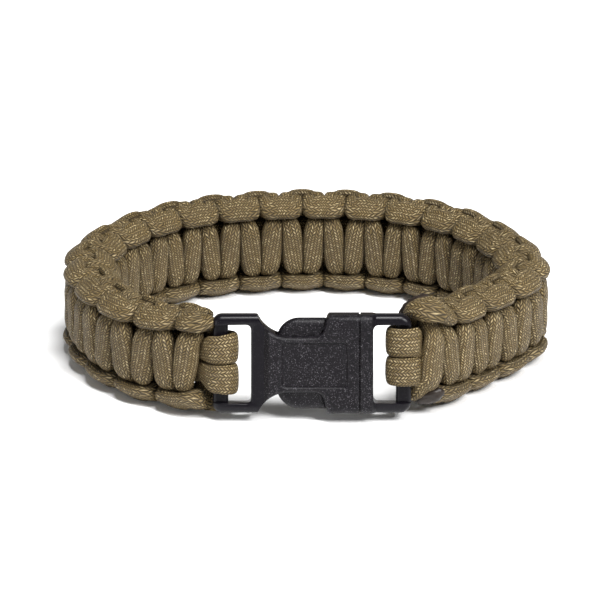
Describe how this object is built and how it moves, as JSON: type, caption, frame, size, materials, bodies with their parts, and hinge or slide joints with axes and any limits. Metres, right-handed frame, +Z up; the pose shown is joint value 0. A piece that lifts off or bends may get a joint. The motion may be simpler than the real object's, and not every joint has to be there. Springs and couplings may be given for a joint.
{
  "type": "paracord bracelet",
  "caption": "Woven cord bracelet in a cobra weave, closed by a side-release buckle, a whole loop lying on its lower edge.",
  "frame": {"origin": "middle of the bounding box, on the floor that the band's lower edge stands on", "axes": "+X along the buckle towards the plug, +Y from the buckle to the back of the loop, +Z up, across the band"},
  "size_m": [0.1019, 0.082, 0.0226],
  "materials": {
    "paracord": "matte",
    "buckle": "matte",
    "melted_tip": "gloss"
  },
  "bodies": {
    "root": {"buckle_socket": "buckle", "buckle_plug": "buckle", "outer_cord": "paracord", "inner_cord": "paracord", "core_cord_upper": "paracord", "core_cord_lower": "paracord", "melted_tip_upper": "melted_tip", "melted_tip_lower": "melted_tip"}
  },
  "joints": []
}
